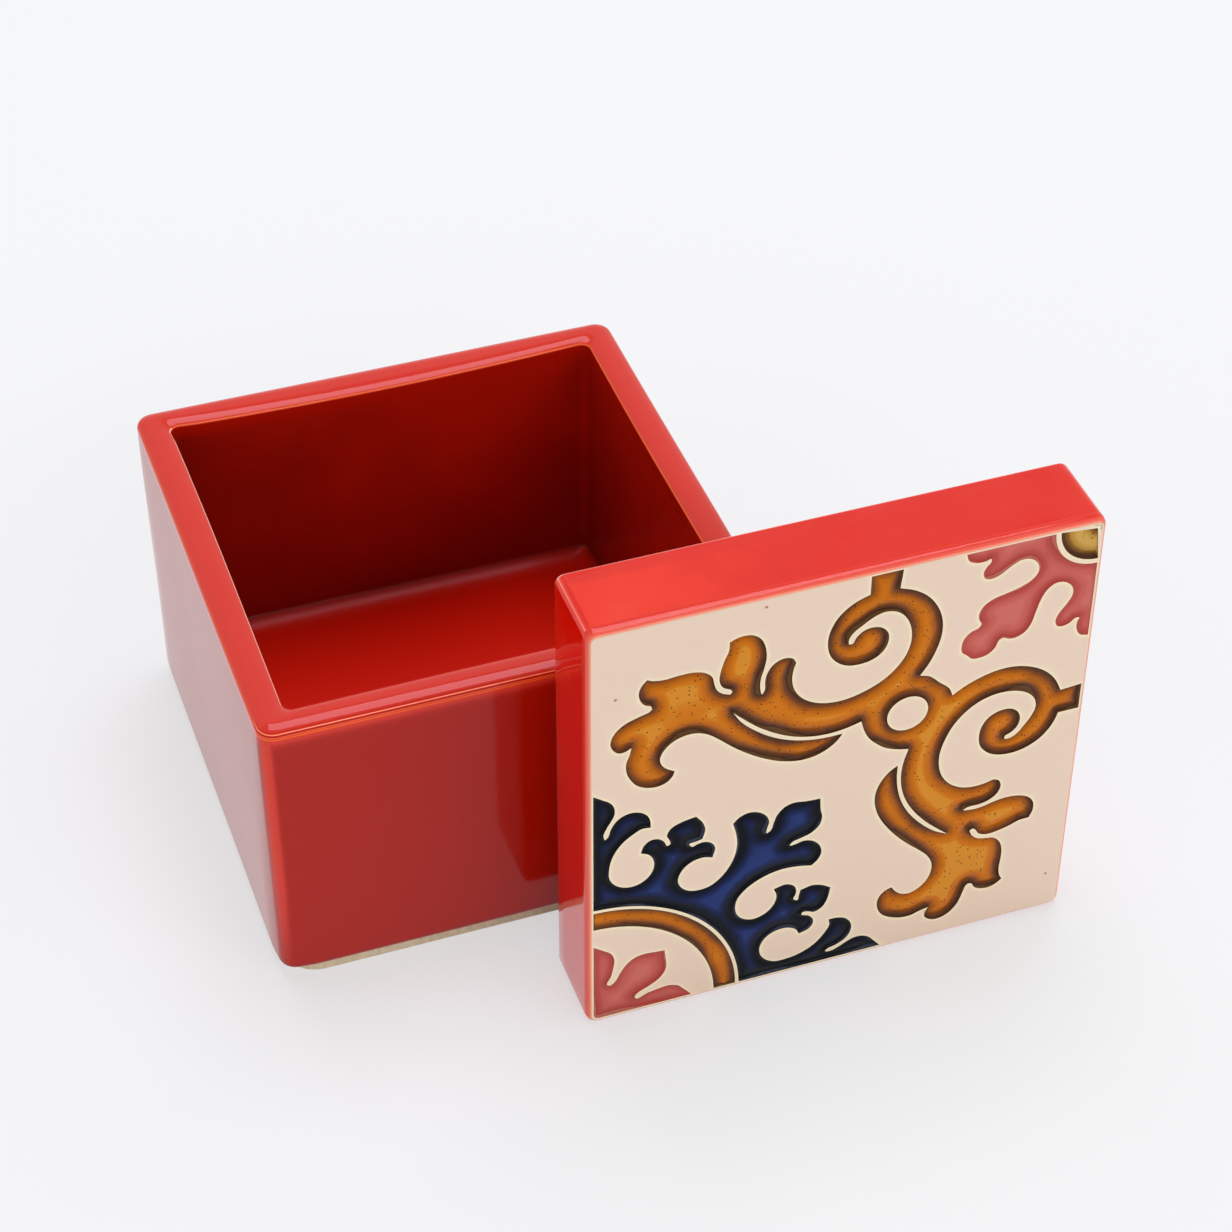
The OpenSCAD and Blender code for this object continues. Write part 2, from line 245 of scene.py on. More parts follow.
def bridge(obj, test):
    """Joins two nested open loops of as many corners by faces between their nearest corners."""
    pick(obj, "EDGE", lambda e, m: e.is_boundary and test(m))
    shape = bmesh.from_edit_mesh(obj.data)
    sides = [set(e.verts) for e in shape.edges if e.select]
    ring, grown = set(), sides[0]
    while grown != ring:
        ring, grown = grown, grown.union(*(side for side in sides if side & grown))
    near, far = (sorted(part, key=lambda v: math.atan2(v.co.y, v.co.x))
                 for part in (ring, set().union(*sides) - ring))
    for i in range(len(near)):
        shape.faces.new((near[i - 1], near[i], far[i], far[i - 1]))
    bmesh.update_edit_mesh(obj.data)


def turn_outwards():
    bpy.ops.mesh.select_all(action="SELECT")
    bpy.ops.mesh.normals_make_consistent(inside=False)


def close_block():
    """Closes the mesh being edited, turns its faces outwards and smooths it."""
    bpy.ops.mesh.select_all(action="SELECT")
    bpy.ops.mesh.remove_doubles(threshold=1e-6)
    turn_outwards()
    bpy.ops.object.mode_set(mode="OBJECT")
    bpy.ops.object.shade_smooth()


box_low, box_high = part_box("box_body")
box_half, box_top = box_high.x, box_high.z
box_wall, floor_level = 0.0085, 0.0135
corner_radius, well_corner, base_radius = 0.0048, 0.0028, 0.002
well_half = box_half - box_wall
outer_crown = [(0.0, 0.0007)] * 6 + curve_steps_of((0.0020, 0, 60, 12), (0.0062, 60, 90, 7))
inner_crown = curve_steps_of((0.0010, 0, 60, 8), (0.0062, 60, 90, 7))
well_fillet = curve_steps_of((0.0012, 0, 52, 5), (0.0115, 52, 90, 10))
base_round = curve_steps_of((base_radius, 0, 90, 6))
outer_rise, inner_rise, fillet_rise, base_rise = (
    sum(along for _, along in steps)
    for steps in (outer_crown, inner_crown, well_fillet, base_round))
shell = start_block("box_shell", (-box_half, -box_half, box_low.z + base_rise),
                    (box_half, box_half, box_top - outer_rise))
pick(shell, "EDGE", lambda e, m: is_upright(e, box_half))
bevel(corner_radius, 12)
pick(shell, "FACE", lambda f, m: at_level(m, box_low.z + base_rise))
crown_face(base_round)
pick(shell, "FACE", lambda f, m: at_level(m, box_top - outer_rise))
crown_face(outer_crown)
bpy.ops.mesh.delete(type="FACE")
well_low, well_high = floor_level + fillet_rise, box_top - inner_rise
bpy.ops.mesh.select_all(action="DESELECT")
bpy.ops.mesh.primitive_cube_add(
    size=1, location=(0, 0, (well_low + well_high) / 2),
    scale=(2 * well_half, 2 * well_half, well_high - well_low))
pick(shell, "EDGE", lambda e, m: is_upright(e, well_half))
bevel(well_corner, 12)
pick(shell, "FACE", lambda f, m: off_axis(m) < 10 * tiny and well_low - tiny < m.z)
bpy.ops.mesh.delete(type="FACE")
pick(shell, "EDGE", lambda e, m: e.is_boundary and at_level(m, well_high)
     and off_axis(m) < well_half + tiny)
draw_loop(well_half, inner_crown, 1, 1)
bridge(shell, lambda m: m.z > box_top - tiny)
pick(shell, "EDGE", lambda e, m: e.is_boundary)
draw_loop(well_half, well_fillet, -1, -1)
bpy.ops.mesh.edge_face_add()
pick(shell, "EDGE", lambda e, m: e.calc_length() > 0.05
     and abs(e.verts[0].co.z - e.verts[1].co.z) < tiny)
bpy.ops.mesh.subdivide(number_cuts=27)
pick(shell, "EDGE", lambda e, m: e.calc_length() > 0.02)
bpy.ops.mesh.subdivide(number_cuts=15)
close_block()


def step_share(value, start, end):
    """0 before start, 1 after end, smooth between them."""
    t = min(1.0, max(0.0, (value - start) / (end - start)))
    return t * t * (3 - 2 * t)


waviness, foot_pinch, corner_pinch, corner_spread = 0.00006, 0.0008, 0.0007, 0.0005
back_bow, side_bow = 0.0020, 0.0004


def kiln_drift(p):
    """How far a point of the shell has moved in drying and firing."""
    wave = waviness * (math.sin(52 * p.x + 41 * p.z + 1.3) + math.sin(47 * p.y - 33 * p.z) - 2)
    out = Vector((p.x, p.y, 0)).normalized()
    move = out * wave
    high = step_share(p.z, floor_level, box_top)
    inner = 1 - step_share(off_axis(p), well_half + 0.0005, box_half - 0.0035)
    outer_corner = step_share(min(abs(p.x), abs(p.y)), box_half - 0.011, box_half - 0.003)
    move -= out * foot_pinch * outer_corner * (1 - inner) * (1 - high)
    if inner > 0 and p.z > floor_level - 0.001:
        on_front_or_back = abs(p.y) >= abs(p.x)
        along = min(1.0, (p.x if on_front_or_back else p.y) ** 2 / well_half ** 2)
        bow = back_bow if on_front_or_back and p.y > 0 else side_bow
        bow *= high * inner * (1 - along)
        move -= (Vector((0, math.copysign(bow, p.y), 0)) if on_front_or_back
                 else Vector((math.copysign(bow, p.x), 0, 0)))
        in_corner = step_share(min(abs(p.x), abs(p.y)), well_half - 0.0075, well_half - 0.0015)
        move -= out * corner_pinch * in_corner * inner * (1 - high)
        if p.x < 0 < p.y:
            move += out * corner_spread * in_corner * inner * high
    return move


for vertex in shell.data.vertices:
    vertex.co += kiln_drift(vertex.co)
shell.data.update()


def note(obj, name, value_of):
    """Keeps a value for each vertex, worked out from its place and normal, for the material."""
    kept = obj.data.attributes.new(name, "FLOAT", "POINT")
    kept.data.foreach_set("value", [value_of(v.co, v.normal) for v in obj.data.vertices])


full_bend = 0.29


def bend(n):
    """0 on a flat face, 1 in the middle of a rounded edge."""
    return min(1.0, (1 - max(abs(n.x), abs(n.y), abs(n.z))) / full_bend)


# Glaze shares by the tilt of the rim's surface. The peaks in the front and left rows are painted
# highlights: pale lines along the front rim's outer edge and the left rim's inner edge.
rim_tilts = [0, 20, 30, 42, 47, 53, 60, 68, 74, 80, 90]
outer_rim_shares = [0.45, 0.45, 0.48, 0.54, 0.56, 0.60, 0.62, 0.62, 0.62, 0.62, 0.62]
front_rim_glaze_and_highlight_shares = [0.45, 0.45, 0.42, 0.20, 0.95, 0.95, 0.10, 0.25, 0.90, 0.60, 0.70]
inner_rim_shares = [0.45, 0.45, 0.48, 0.62, 0.76, 0.82, 0.84, 0.82, 0.70, 0.45, 0.12]
left_rim_glaze_and_highlight_shares = [0.45, 0.45, 0.50, 1.00, 1.00, 1.00, 1.00, 0.90, 0.80, 0.60, 0.20]
wall_share, base_share = 0.12, 0.06
outer_rim_height, inner_rim_height = 0.0025, 0.0022


def shell_thin_and_painted_light(p, n):
    """How thin the glaze lies on the box, with painted light and shade: least deep in the well,
    most on the rim, up to 1.

    In the well it is lower and rises upwards and to the right: painted shade on the walls of the
    well, lightening as painted light, matched to the tones seen there. On the rim, peaks at set
    tilts paint pale highlight lines."""
    tilt = math.degrees(math.acos(min(1.0, max(-1.0, n.z))))
    outside = off_axis(p) > box_half - 0.0040
    front = p.y < -box_half + 0.0055
    if outside and p.z > box_top - outer_rim_height:
        shares = front_rim_glaze_and_highlight_shares if front else outer_rim_shares
        return float(np.interp(tilt, rim_tilts, shares))
    if outside:
        streak = (0.72 if front else 0.5) * math.exp(-(box_top - outer_rim_height - p.z) / 0.0014)
        corner = 0.43 * step_share(bend(n), -0.05, 0.75) * step_share(
            p.z, box_low.z - 0.02, box_low.z + 0.045)
        return wall_share + max(corner, streak) if p.z > box_low.z + base_radius else base_share
    if p.z > box_top - inner_rim_height:
        shares = left_rim_glaze_and_highlight_shares if p.x < -abs(p.y) else inner_rim_shares
        return float(np.interp(tilt, rim_tilts, shares))
    under_lip = 0.3 * math.exp(-(box_top - inner_rim_height - p.z) / 0.0010)
    # Painted shade and light in the well: the walls darker low down and to the left, lighter
    # upwards and to the right.
    in_well = 0.095 * step_share(p.z, -0.03, box_top) * (
        0.35 + 0.65 * step_share(p.x, -0.06, 0.03))
    return in_well + under_lip


def shell_painted_floor_light(p, n):
    """1 on the floor of the well, where a brighter red is painted as painted light for the light
    that falls on it from above.
    """
    return step_share(n.z, 0.7, 0.99) * (1 - step_share(p.z, floor_level + 0.006, box_top - 0.02))


def shell_dull(p, n):
    """How much duller the glaze is than on the rim: fully in the well, hardly on the outside."""
    in_well = off_axis(p) < well_half + 0.001
    return step_share(box_top - p.z, 0.0025, 0.006) * (1.0 if in_well else 0.05)


note(shell, "dull", shell_dull)
note(shell, "cover", shell_painted_floor_light)
note(shell, "thin", shell_thin_and_painted_light)


# Glaze surface, shared by all the glazes: slow ripples, cloudy patches and specks.
glaze_group = bpy.data.node_groups.new("glaze_surface", "ShaderNodeTree")
for label, value in (("Ripple Size", 90.0), ("Speck Share", 0.05), ("Speck Scale", 900.0)):
    glaze_group.interface.new_socket(
        name=label, in_out="INPUT", socket_type="NodeSocketFloat").default_value = value
for label in ("Height", "Cloud", "Specks"):
    glaze_group.interface.new_socket(
        name=label, in_out="OUTPUT", socket_type="NodeSocketFloat")
glaze_in = glaze_group.nodes.new("NodeGroupInput").outputs
glaze_place = add_node(glaze_group, "TexCoord", {}).outputs["Object"]
ripple = add_node(glaze_group, "TexNoise", {
    "Vector": glaze_place, "Scale": glaze_in["Ripple Size"], "Detail": 1.0})
cloud = add_node(glaze_group, "TexNoise", {"Vector": glaze_place, "Scale": 45.0, "Detail": 4.0})
specks = add_node(glaze_group, "TexVoronoi", {
    "Vector": glaze_place, "Scale": glaze_in["Speck Scale"]})
speck_pick = add_node(glaze_group, "SeparateColor", {0: specks.outputs["Color"]})
speck_rare = worked_out(glaze_group, "LESS_THAN", speck_pick.outputs[0], glaze_in["Speck Share"])
speck_dot = map_range(glaze_group, specks.outputs["Distance"], (0.22, 0.36), (1.0, 0.0))
wire(glaze_group, glaze_group.nodes.new("NodeGroupOutput"), {
    "Height": ripple.outputs["Fac"], "Cloud": cloud.outputs["Fac"],
    "Specks": worked_out(glaze_group, "MULTIPLY", speck_rare, speck_dot.outputs[0])})


def kept_value(tree, name):
    """The value of this name that the mesh keeps for each vertex."""
    node = tree.nodes.new("ShaderNodeAttribute")
    node.attribute_name = name
    return node.outputs["Fac"]


def colour_ramp(tree, place, stops, interpolation):
    """A colour that runs through the stops, each (position, colour), with the place."""
    ramp = add_node(tree, "ValToRGB", {0: place})
    ramp.color_ramp.interpolation = interpolation
    while len(ramp.color_ramp.elements) < len(stops):
        ramp.color_ramp.elements.new(0.5)
    for element, (position, colour) in zip(ramp.color_ramp.elements, stops):
        element.position = position
        element.color = (*colour, 1)
    return ramp.outputs[0]


def mix_colour(tree, share, under, over):
    """A colour that runs from under to over with the share."""
    node = tree.nodes.new("ShaderNodeMix")
    node.data_type = "RGBA"
    wire(tree, node, {0: share, 6: under, 7: over})
    return node.outputs[2]


polished = 0.08


def ceramic(name, ramp_source, stops, ior, ripple_size=90.0, bump=0.1, speck_share=0.0,
            speck_scale=900.0, speck_colour=(0.05, 0.02, 0.01, 1), cloud_swing=0.1,
            cover=None, dull=None):
    """A glaze whose colour runs through the stops with a value kept on the mesh.

    stops are (position, colour); cloudy patches shift the position a little either way. The cover
    colour lies over them where the mesh's value "cover" is 1, and the roughness rises to dull
    where its value "dull" is 1."""
    material = bpy.data.materials.new(name)
    material.use_nodes = True
    tree = material.node_tree
    surface = tree.nodes.new("ShaderNodeGroup")
    surface.node_tree = glaze_group
    wire(tree, surface, {"Ripple Size": ripple_size, "Speck Share": speck_share,
                         "Speck Scale": speck_scale})
    swing = map_range(tree, surface.outputs["Cloud"], (0.3, 0.7), (-cloud_swing, cloud_swing))
    level = worked_out(tree, "ADD", kept_value(tree, ramp_source), swing.outputs[0])
    colour = mix_colour(tree, surface.outputs["Specks"],
                        colour_ramp(tree, level, stops, "EASE"), speck_colour)
    if cover:
        colour = mix_colour(tree, kept_value(tree, "cover"), colour, (*cover, 1))
    rough = polished
    if dull:
        rough = map_range(tree, kept_value(tree, "dull"), (0, 1), (polished, dull)).outputs[0]
    raised = add_node(tree, "Bump", {
        "Height": surface.outputs["Height"], "Strength": bump, "Distance": 0.001})
    wire(tree, tree.nodes["Principled BSDF"], {
        "Base Color": colour, "Roughness": rough, "IOR": ior, "Normal": raised.outputs[0]})
    return material


# The box's red: its darkest stops are the painted shade in the well, its palest the painted
# highlight lines on the rim, and its cover the brighter red painted on the well's floor as painted
# light.
box_red = ceramic("box_red_glaze", "thin", [
    (0.0, (0.24, 0.0045, 0.0007)), (0.12, (0.385, 0.007, 0.001)), (0.46, (0.63, 0.034, 0.022)),
    (0.60, (0.69, 0.040, 0.008)), (0.8, (0.88, 0.13, 0.03)), (1.0, (0.94, 0.50, 0.42))], 1.32,
    ripple_size=22.0, bump=0.12, cloud_swing=0.02, cover=(0.80, 0.010, 0.0006), dull=0.31)
shell.data.materials.clear()
shell.data.materials.append(box_red)
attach(shell, "box")
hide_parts("box_body")

# Foot: the ring that the box stood on in the kiln, wiped bare of glaze, in buff earthenware with
# a fine sandy tooth. Its tread is slightly rounded from wear.
foot_low, foot_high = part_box("foot_ring")
foot_tread, foot_corner, foot_inner_corner, foot_wear = 0.009, 0.010, 0.003, 0.0006
foot_wiped = 0.0008
foot_half, foot_inner = foot_high.x - foot_wiped, foot_high.x - foot_tread
foot = start_block("foot", (-foot_half, -foot_half, foot_low.z),
                   (foot_half, foot_half, foot_high.z))
pick(foot, "EDGE", lambda e, m: is_upright(e, foot_half))
bevel(foot_corner, 8)
bpy.ops.mesh.select_all(action="DESELECT")
bpy.ops.mesh.primitive_cube_add(
    size=1, location=(0, 0, (foot_low.z + foot_high.z) / 2),
    scale=(2 * foot_inner, 2 * foot_inner, foot_high.z - foot_low.z))
pick(foot, "EDGE", lambda e, m: is_upright(e, foot_inner))
bevel(foot_inner_corner, 8)
pick(foot, "FACE", lambda f, m: off_axis(m) < 10 * tiny)
bpy.ops.mesh.delete(type="FACE")
for foot_level in (foot_low.z, foot_high.z):
    bridge(foot, lambda m: at_level(m, foot_level))
turn_outwards()
pick(foot, "EDGE", lambda e, m: at_level(m, foot_low.z) and not e.is_boundary
     and e.calc_face_angle() > 1)
bevel(foot_wear, 3)
close_block()
bpy.ops.object.shade_smooth_by_angle(angle=math.radians(35))
clay = bpy.data.materials.new("bare_clay")
clay.use_nodes = True
clay_tree = clay.node_tree
clay_place = add_node(clay_tree, "TexCoord", {})
clay_grain = add_node(clay_tree, "TexNoise", {
    "Vector": clay_place.outputs["Object"], "Scale": 900.0, "Detail": 6.0}).outputs["Fac"]
clay_bump = add_node(clay_tree, "Bump", {
    "Height": clay_grain, "Strength": 0.4, "Distance": 0.0002})
clay_stops = [(0.3, (0.56, 0.46, 0.31)), (0.7, (0.72, 0.62, 0.45))]
wire(clay_tree, clay_tree.nodes["Principled BSDF"], {
    "Base Color": colour_ramp(clay_tree, clay_grain, clay_stops, "LINEAR"), "Roughness": 0.75,
    "Normal": clay_bump.outputs[0]})
foot.data.materials.clear()
foot.data.materials.append(clay)
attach(foot, "box")
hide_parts("foot_ring")

# Lid casting: a hollow slip-cast slab with a locating rim that drops inside the walls of the box.
# It carries the tile on top and wears a brighter coat of the same red glaze. Made lying flat,
# seat down, and then stood on edge.
lid_low, lid_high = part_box("lid_body")
face_low, face_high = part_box("tile_face")
lid_width = lid_high.x - lid_low.x
lid_half = lid_width / 2
plug_depth, plug_half, plug_wall, hollow_roof = 0.006, 0.0605, 0.006, 0.0155
seat = lid_high.y - plug_depth
slab = seat - lid_low.y
lid_place = Matrix.Translation(((lid_low.x + lid_high.x) / 2, seat, lid_half)) @ Matrix.Rotation(
    math.radians(90), 4, "X")


def select_only(obj):
    bpy.ops.object.select_all(action="DESELECT")
    obj.select_set(True)
    bpy.context.view_layer.objects.active = obj


def stand_up(obj):
    """Turns a piece of the lid from lying on its seat to standing in front of the box."""
    obj.matrix_world = lid_place
    select_only(obj)
    bpy.ops.object.transform_apply(location=True, rotation=True, scale=True)


def sink(obj, level, wall, depth):
    """Insets the face at this level by the wall, and pushes its middle in by the depth."""
    def is_face(f, m):
        return at_level(m, level) and off_axis(m) < tiny
    pick(obj, "FACE", is_face)
    bpy.ops.mesh.inset(thickness=wall)
    pick(obj, "FACE", is_face)
    bpy.ops.mesh.extrude_region_move(TRANSFORM_OT_translate={"value": (0, 0, depth)})


def round_edges(obj, radius, steps, test):
    """Rounds the sharp edges that pass the test to this radius."""
    pick(obj, "EDGE", lambda e, m: e.is_manifold and e.calc_face_angle() > 0.6 and test(m))
    bevel(radius, steps)


def by_corner(m, half):
    return abs(abs(m.x) - half) < 10 * tiny and abs(abs(m.y) - half) < 10 * tiny


casting = start_block("lid_casting", (-lid_half, -lid_half, 0), (lid_half, lid_half, slab))
sink(casting, 0, lid_half - plug_half, -plug_depth)
sink(casting, -plug_depth, plug_wall, plug_depth + hollow_roof)
hollow_half = plug_half - plug_wall
lid_corner, plug_corner, hollow_corner = 0.003, 0.005, 0.003
seat_edge, plug_edge, hollow_fillet = 0.0014, 0.0012, 0.0028
round_edges(casting, lid_corner, 8, lambda m: by_corner(m, lid_half))
round_edges(casting, plug_corner, 8, lambda m: by_corner(m, plug_half))
round_edges(casting, hollow_corner, 6, lambda m: by_corner(m, hollow_half))
round_edges(casting, seat_edge, 4, lambda m: at_level(m, 0) and off_axis(m) > lid_half - 0.002)
round_edges(casting, plug_edge, 4, lambda m: at_level(m, -plug_depth))
round_edges(casting, hollow_fillet, 6, lambda m: at_level(m, hollow_roof))
for _ in range(5):
    pick(casting, "EDGE", lambda e, m: e.calc_length() > 0.008)
    bpy.ops.mesh.subdivide(number_cuts=1)
close_block()
bpy.ops.object.shade_smooth_by_angle(angle=math.radians(50))


def casting_thin_and_painted_light(p, n):
    """How thin the glaze lies on the lid, with painted light: 0 on its flat sides, most on the
    edges.

    A pale painted highlight line runs along the rounded back edges, where the glaze also thins.
    The side that stands uppermost is painted lighter as painted light, most at its left end,
    matched to the tones seen there."""
    if off_axis(p) < plug_half + 0.0005:
        return 0.3 * bend(n)
    if p.z > slab - 0.0001:
        n = Vector((n.x, n.y, 0)).normalized()
    # Painted highlight: a pale line along the rounded back edges, where the glaze also thins.
    if p.z < seat_edge and abs(n.z) > 0.1:
        return min(1.0, 2.4 * bend(n))
    # Painted light: the uppermost side is lighter, most towards its left end.
    if n.y > 0.95:
        return 0.10 + 0.25 * (1 - step_share(p.x, -lid_half, 0))
    return 0.9 * bend(n) ** 2


note(casting, "thin", casting_thin_and_painted_light)
# The lid's palest stops make the painted highlight line along its back edges.
lid_red = ceramic("lid_red_glaze", "thin", [
    (0.0, (0.68, 0.006, 0.001)), (0.12, (0.69, 0.018, 0.008)), (0.35, (0.79, 0.032, 0.014)),
    (0.7, (0.82, 0.10, 0.06)), (1.0, (0.94, 0.50, 0.42))], 1.37, ripple_size=30.0, bump=0.16)
casting.data.materials.clear()
casting.data.materials.append(lid_red)
stand_up(casting)
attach(casting, "lid")
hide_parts("lid_body")

# Tile: a traditional pressed relief tile in buff clay, the lid's top. Its ground is a glossy cream
# glaze; the motifs are hollows between crisp clay lines, mirrored about the tile's diagonal.
# The outlines are in hundredths of the tile's side, from its lower left corner: each is a list of
# runs, a run is one smooth curve, and runs meet in corners.
tile_margin_share = 1.3
scroll_half_shares = [
    [(57.0, 57.0), (55.4, 58.9), (54.3, 61.2), (53.6, 63.7)],
    [(53.6, 63.7), (50.5, 62.9), (47.0, 62.6), (43.5, 63.0), (40.0, 64.1), (36.5, 66.0),
     (33.0, 68.6), (30.3, 71.2), (28.1, 73.5)],
    [(28.1, 73.5), (29.8, 70.7), (32.5, 67.9), (36.0, 65.2), (39.7, 63.3), (43.5, 62.2),
     (46.8, 61.8), (50.0, 61.8)],
    [(50.0, 61.8), (48.8, 60.1), (47.0, 58.7), (44.9, 57.8), (42.5, 57.5), (39.8, 57.9),
     (37.0, 58.9), (33.5, 60.9), (30.5, 63.1), (27.8, 65.5), (25.5, 67.8), (23.3, 69.7),
     (21.1, 70.7), (19.0, 70.8), (17.0, 70.2), (15.4, 69.0), (14.4, 67.5), (14.1, 66.1),
     (14.6, 64.6), (15.6, 63.5), (17.0, 62.6)],
    [(17.0, 62.6), (16.6, 61.4), (15.6, 60.3), (13.9, 59.7), (11.7, 60.0), (9.8, 61.1),
     (8.5, 62.9), (7.7, 65.0), (7.6, 67.3), (8.2, 69.1), (8.6, 70.9)],
    [(8.6, 70.9), (7.4, 70.3), (6.2, 70.3), (5.2, 71.2), (4.6, 72.7), (4.9, 74.5),
     (5.9, 76.0), (7.5, 77.2), (9.7, 78.0), (11.8, 78.6)],
    [(11.8, 78.6), (12.4, 79.2), (12.2, 80.0)],
    [(12.2, 80.0), (10.9, 80.7), (10.1, 82.1), (9.9, 83.8), (10.4, 85.3), (11.4, 86.5)],
    [(11.4, 86.5), (12.7, 85.9), (14.7, 85.6), (17.5, 85.8), (20.3, 85.7), (22.5, 84.9),
     (23.8, 83.5), (24.2, 81.8), (24.7, 80.2), (25.8, 79.0), (27.3, 78.3)],
    [(27.3, 78.3), (27.7, 78.9), (27.3, 79.5)],
    [(27.3, 79.5), (25.9, 80.4), (25.2, 82.0), (25.3, 84.1), (26.0, 86.8), (26.8, 88.9),
     (26.9, 90.9)],
    [(26.9, 90.9), (28.8, 91.6), (31.1, 91.4), (32.8, 90.1), (33.8, 87.9), (34.1, 85.1),
     (33.7, 82.5), (33.2, 80.5), (33.1, 78.3), (33.5, 76.5), (34.0, 77.5), (34.0, 79.7),
     (34.5, 81.7), (35.7, 83.3), (37.5, 84.0), (39.2, 83.5), (39.9, 82.3)],
    [(39.9, 82.3), (39.4, 80.3), (39.3, 78.1), (39.8, 75.8), (41.2, 73.5), (43.5, 71.6),
     (46.5, 70.5), (50.0, 70.3), (53.5, 71.1), (57.0, 72.7), (59.8, 75.1), (61.6, 77.9),
     (62.4, 81.1), (62.1, 84.5), (60.9, 87.2), (59.1, 88.9), (56.8, 89.5), (54.5, 88.8),
     (52.5, 87.5), (50.9, 86.3), (50.0, 84.8), (50.1, 83.7), (50.8, 83.7), (51.4, 84.9),
     (52.7, 86.1), (54.5, 86.5), (56.4, 85.9), (57.6, 84.5), (57.9, 82.8), (57.5, 81.0),
     (56.4, 79.5), (54.6, 78.5), (52.5, 78.2), (50.2, 78.5), (48.3, 79.6), (46.8, 81.4),
     (46.0, 83.7), (45.9, 86.2), (46.5, 88.7), (47.9, 91.1), (49.9, 92.9), (51.8, 93.9),
     (53.6, 94.5)],
    [(53.6, 94.5), (53.6, 98.7)],
    [(53.6, 98.7), (59.8, 98.7)],
    [(59.8, 98.7), (59.4, 94.4)],
    [(59.4, 94.4), (62.5, 93.0), (65.1, 90.9), (67.1, 88.0), (68.3, 84.6), (68.5, 81.0),
     (67.7, 77.4), (66.4, 74.3), (64.8, 71.8)],
    [(64.8, 71.8), (66.8, 71.0), (68.9, 68.9)]]
hub_share, hub_radius_share = 62.9, 4.1
rosette_half_shares = [
    [(1.3, 31.3), (1.3, 61.0)],
    [(1.3, 61.0), (3.0, 59.7), (4.6, 58.4), (5.4, 56.8), (5.4, 55.1), (4.8, 53.7),
     (3.9, 52.1), (3.3, 50.4), (3.6, 49.3), (4.2, 49.9), (4.7, 51.6), (5.7, 53.3),
     (7.1, 54.3), (8.8, 54.6), (10.5, 54.1), (11.8, 52.9), (12.4, 51.3), (12.5, 49.6)],
    [(12.5, 49.6), (10.8, 49.8), (9.2, 49.0), (7.3, 47.6), (5.8, 45.7), (4.8, 43.4),
     (4.4, 41.0), (4.5, 38.7), (5.5, 36.9), (7.1, 35.7), (9.0, 35.3), (10.9, 35.8),
     (12.4, 37.1), (13.2, 39.0), (13.1, 41.0), (12.2, 42.6), (10.6, 43.5)],
    [(10.6, 43.5), (11.2, 45.3), (12.5, 46.3), (13.9, 46.2), (15.1, 45.2), (15.8, 43.8),
     (16.4, 44.1), (16.2, 45.2), (15.7, 46.4), (16.4, 48.0), (18.3, 49.0), (21.4, 49.6)],
    [(21.4, 49.6), (22.7, 47.7), (23.3, 45.7), (22.8, 43.3)],
    [(22.8, 43.3), (21.4, 43.0), (20.2, 42.8), (20.8, 41.9), (21.9, 42.3), (23.2, 42.4),
     (24.6, 41.7), (25.4, 40.1), (24.9, 37.7)],
    [(24.9, 37.7), (23.2, 38.3), (21.3, 38.1), (19.5, 37.0), (18.4, 35.3), (18.1, 33.5),
     (18.9, 31.6), (20.5, 30.3), (22.6, 29.9), (24.7, 30.3), (26.7, 31.8), (28.4, 34.2),
     (29.4, 36.8), (29.8, 39.6), (29.5, 42.5), (28.8, 45.3)],
    [(28.8, 45.3), (30.1, 46.6), (32.0, 47.2), (34.0, 46.6), (35.5, 45.2), (36.1, 43.4),
     (35.7, 41.6), (35.7, 40.6), (36.5, 41.1), (37.0, 42.8), (37.7, 44.8), (39.2, 46.4),
     (41.1, 46.9), (43.5, 46.5), (46.3, 46.3)]]
leaf_half_shares = [
    [(1.6, 1.6), (1.3, 2.3)],
    [(1.3, 2.3), (1.3, 21.4)],
    [(1.3, 21.4), (3.2, 19.9), (4.8, 18.5), (5.5, 16.6), (5.3, 14.3), (4.8, 12.0),
     (4.0, 10.2), (4.7, 9.7), (5.7, 10.5), (6.8, 12.7), (8.2, 14.7), (9.8, 15.8),
     (11.6, 16.1), (13.6, 15.9), (15.7, 15.7)]]
spray_half_shares = [
    [(72.0, 98.7), (72.6, 97.0), (74.3, 96.1), (76.1, 96.1), (76.9, 96.4), (77.0, 95.6),
     (76.2, 94.6), (75.7, 93.3), (76.1, 92.0), (77.4, 91.5), (79.1, 92.0), (81.1, 93.4),
     (83.1, 94.4), (85.1, 94.1), (86.6, 92.5), (86.8, 90.7), (85.7, 89.1), (83.6, 88.0),
     (80.8, 87.2), (78.4, 86.6), (76.6, 85.5), (75.7, 83.9), (75.7, 82.4), (76.3, 81.0),
     (75.8, 80.2), (74.3, 79.6), (73.1, 78.3), (72.7, 76.7), (72.9, 75.1), (74.0, 74.0)]]
arc_middle_share, arc_inner_share, arc_outer_share, rosette_inner_share = 0.6, 25.4, 29.9, 30.6
disc_share, spray_inner_share, blunt_share, chord_share = 8.1, 9.1, 0.9, 0.35
curve_steps, hub_steps = 5, 72


def flipped(p):
    return (p[1], p[0])


